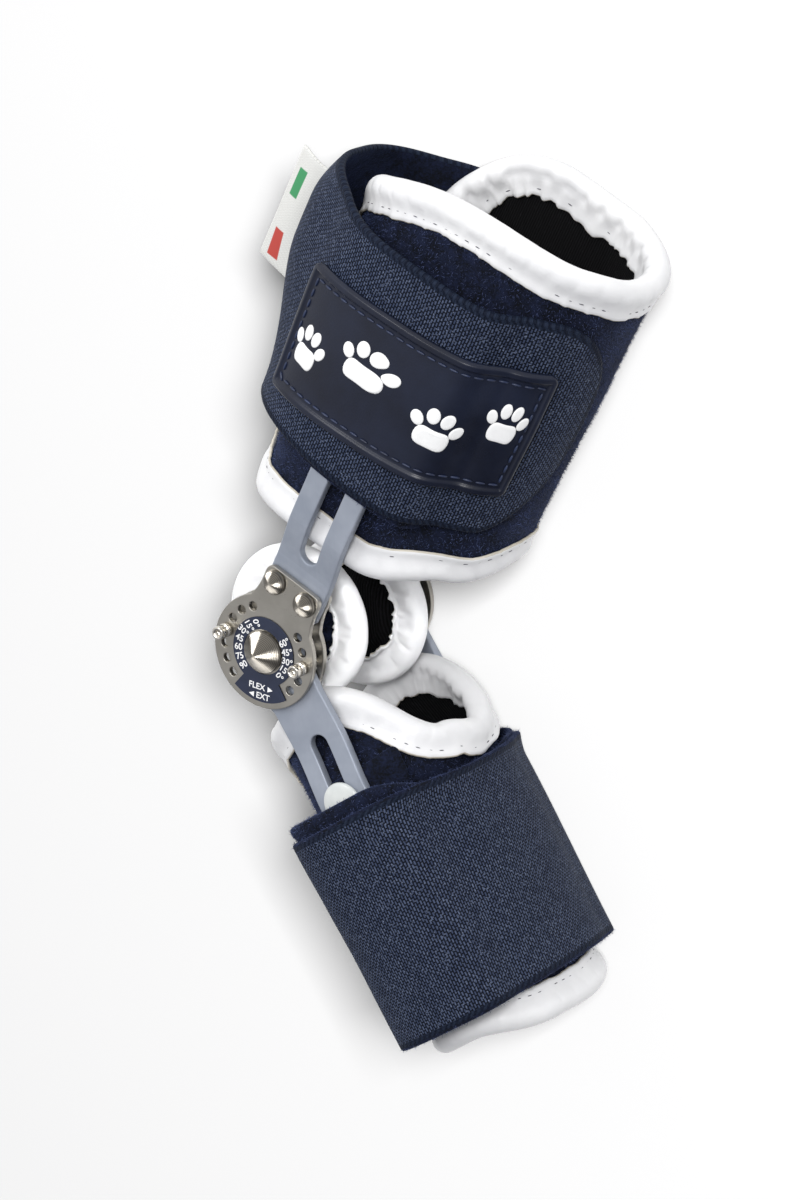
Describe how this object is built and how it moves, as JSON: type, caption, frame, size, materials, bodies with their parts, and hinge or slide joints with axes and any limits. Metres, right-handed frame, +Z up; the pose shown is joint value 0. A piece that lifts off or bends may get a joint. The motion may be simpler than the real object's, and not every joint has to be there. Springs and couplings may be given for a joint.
{
  "type": "dog carpal brace",
  "caption": "Hinged wrist brace for a dog: a padded forearm cuff and a padded paw cuff on slotted bars, joined by stop hinges with a printed angle dial and closed with wide straps.",
  "frame": {"origin": "on the hinge axis, where the flat head of the inner pivot meets the floor", "axes": "+Z up along the hinge axis, +Y towards the forearm end, +X towards the palm side"},
  "size_m": [0.128, 0.2423, 0.0717],
  "materials": {
    "velour": "brushed navy velour",
    "cuff_cloth": "navy velour outside, black lining inside",
    "hook_tape": "woven navy hook tape",
    "binding": "smooth white leathercloth",
    "badge_rubber": "moulded navy rubber",
    "tag_weave": "plain white woven tape",
    "bar_alloy": "matte anodised grey",
    "plate_steel": "satin",
    "polished_steel": "polished",
    "dial_print": "printed navy film with white figures",
    "button_plastic": "pearl grey"
  },
  "bodies": {
    "forearm_half": {"upper_pocket_lateral": "velour", "upper_pocket_medial": "velour", "upper_cuff": "cuff_cloth", "round_pad_lateral": "cuff_cloth", "round_pad_medial": "cuff_cloth", "upper_strap": "hook_tape", "upper_binding": "binding", "pad_binding_lateral": "binding", "pad_binding_medial": "binding", "strap_badge": "badge_rubber", "side_tag": "tag_weave", "upper_bar_lateral": "bar_alloy", "upper_bar_medial": "bar_alloy", "hinge_plate_outer_lateral": "plate_steel", "hinge_plate_inner_lateral": "plate_steel", "hinge_plate_outer_medial": "plate_steel", "hinge_plate_inner_medial": "plate_steel", "dome_rivet_lateral_1": "polished_steel", "dome_rivet_lateral_2": "polished_steel", "dome_rivet_medial_1": "polished_steel", "dome_rivet_medial_2": "polished_steel", "stop_screw_lateral_1": "polished_steel", "stop_screw_lateral_2": "polished_steel", "pivot_lateral": "polished_steel", "pivot_medial": "polished_steel", "dial_face": "dial_print"},
    "paw_half": {"lower_cuff": "cuff_cloth", "lower_binding": "binding", "lower_band": "velour", "lower_strap": "hook_tape", "lower_bar_lateral": "bar_alloy", "lower_bar_medial": "bar_alloy", "bar_button_lateral": "button_plastic"}
  },
  "joints": [
    {"name": "carpal_hinge", "type": "hinge", "parent": "forearm_half", "child": "paw_half", "pos_m": [0, 0, 0], "axis": [0, 0, 1], "range_deg": [-75, 0]}
  ]
}
